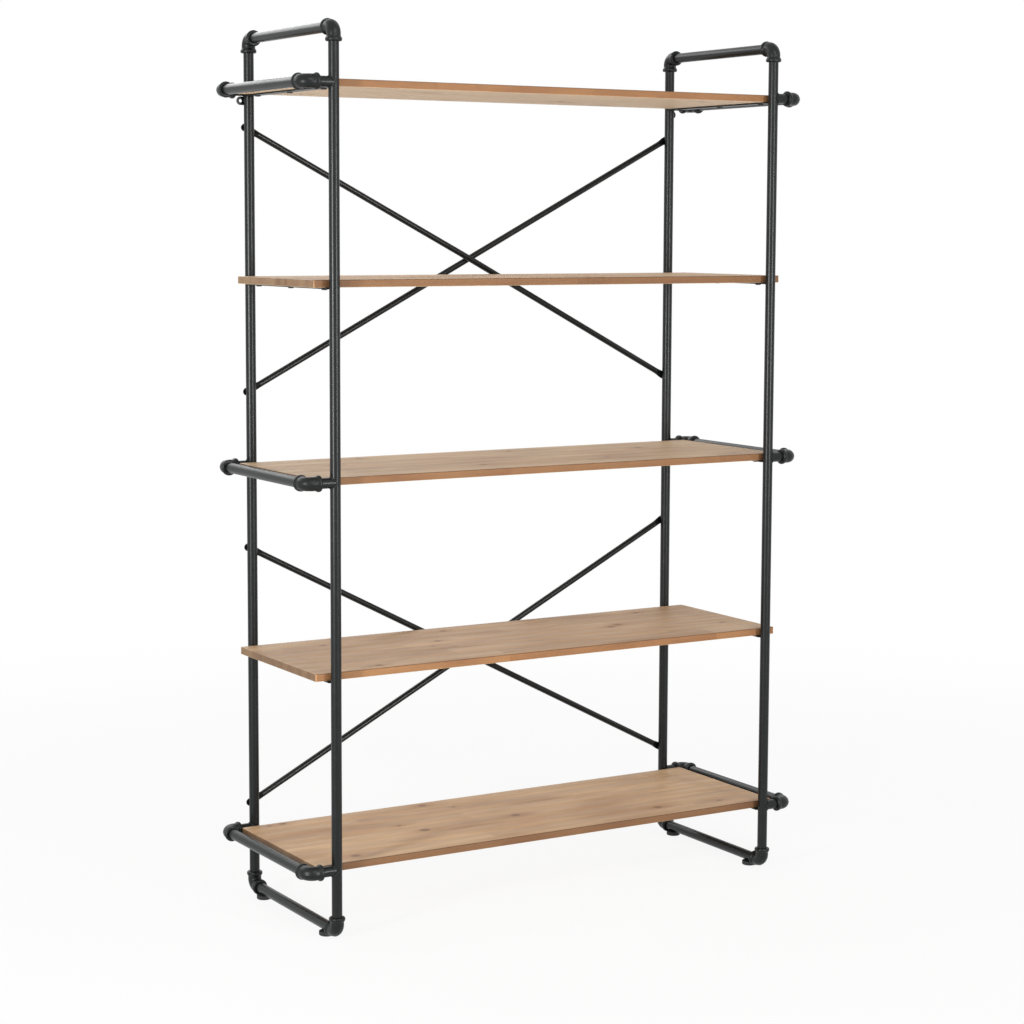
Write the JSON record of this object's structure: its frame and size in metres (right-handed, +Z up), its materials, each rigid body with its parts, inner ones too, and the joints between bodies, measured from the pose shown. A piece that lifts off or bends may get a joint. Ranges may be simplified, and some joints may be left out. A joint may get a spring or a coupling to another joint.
{
  "type": "bookcase",
  "caption": "Open bookcase: wooden shelves on a frame of round steel tube with pipe-style elbows, side rails as book stops and crossed braces behind.",
  "frame": {"origin": "centre of the footprint on the floor: the bottom centre of the bounding box", "axes": "+Z up, -Y is the front that is open to the user, +X to the right seen from the front"},
  "size_m": [1.2, 0.42, 1.8],
  "materials": {
    "frame_tube": "satin dark grey paint on smooth steel tube",
    "elbow_casting": "dark painted casting with a slightly rough skin",
    "stained_fir": "glued fir staves, light brown stain, matte",
    "flat_steel": "satin dark grey paint on flat bar",
    "dark_fastener": "blackened screw heads",
    "zinc_insert": "zinc-plated steel, hidden inside the tubes",
    "foot_plastic": "matte black moulded plastic"
  },
  "bodies": {
    "frame": {"front_left_post": "frame_tube", "front_right_post": "frame_tube", "rear_left_post": "frame_tube", "rear_right_post": "frame_tube", "left_foot_rail": "frame_tube", "left_top_rail": "frame_tube", "right_foot_rail": "frame_tube", "right_top_rail": "frame_tube", "left_lower_side_rail": "frame_tube", "left_middle_side_rail": "frame_tube", "left_upper_side_rail": "frame_tube", "right_lower_side_rail": "frame_tube", "right_middle_side_rail": "frame_tube", "right_upper_side_rail": "frame_tube", "lower_standoffs": "frame_tube", "middle_standoffs": "frame_tube", "upper_standoffs": "frame_tube", "lower_falling_brace": "frame_tube", "lower_rising_brace": "frame_tube", "upper_falling_brace": "frame_tube", "upper_rising_brace": "frame_tube", "front_left_foot_elbow": "elbow_casting", "front_left_top_elbow": "elbow_casting", "front_right_foot_elbow": "elbow_casting", "front_right_top_elbow": "elbow_casting", "rear_left_foot_elbow": "elbow_casting", "rear_left_top_elbow": "elbow_casting", "rear_right_foot_elbow": "elbow_casting", "rear_right_top_elbow": "elbow_casting", "front_left_lower_side_elbow": "elbow_casting", "front_left_middle_side_elbow": "elbow_casting", "front_left_upper_side_elbow": "elbow_casting", "front_right_lower_side_elbow": "elbow_casting", "front_right_middle_side_elbow": "elbow_casting", "front_right_upper_side_elbow": "elbow_casting", "rear_left_lower_side_elbow": "elbow_casting", "rear_left_middle_side_elbow": "elbow_casting", "rear_left_upper_side_elbow": "elbow_casting", "rear_right_lower_side_elbow": "elbow_casting", "rear_right_middle_side_elbow": "elbow_casting", "rear_right_upper_side_elbow": "elbow_casting", "bottom_shelf": "stained_fir", "lower_shelf": "stained_fir", "middle_shelf": "stained_fir", "upper_shelf": "stained_fir", "top_shelf": "stained_fir", "bottom_shelf_bars": "flat_steel", "lower_shelf_bars": "flat_steel", "middle_shelf_bars": "flat_steel", "upper_shelf_bars": "flat_steel", "top_shelf_bars": "flat_steel", "wall_ears": "flat_steel", "brace_bolts": "dark_fastener", "shelf_screws": "dark_fastener", "brace_inserts": "zinc_insert", "foot_sleeves": "zinc_insert"},
    "front_left_foot": {"front_left_foot": "foot_plastic"},
    "front_right_foot": {"front_right_foot": "foot_plastic"},
    "rear_left_foot": {"rear_left_foot": "foot_plastic"},
    "rear_right_foot": {"rear_right_foot": "foot_plastic"}
  },
  "joints": [
    {"name": "front_left_foot_level", "type": "slide", "parent": "frame", "child": "front_left_foot", "axis": [0, 0, -1], "range_m": [0, 0.006]},
    {"name": "front_right_foot_level", "type": "slide", "parent": "frame", "child": "front_right_foot", "axis": [0, 0, -1], "range_m": [0, 0.006]},
    {"name": "rear_left_foot_level", "type": "slide", "parent": "frame", "child": "rear_left_foot", "axis": [0, 0, -1], "range_m": [0, 0.006]},
    {"name": "rear_right_foot_level", "type": "slide", "parent": "frame", "child": "rear_right_foot", "axis": [0, 0, -1], "range_m": [0, 0.006]}
  ]
}
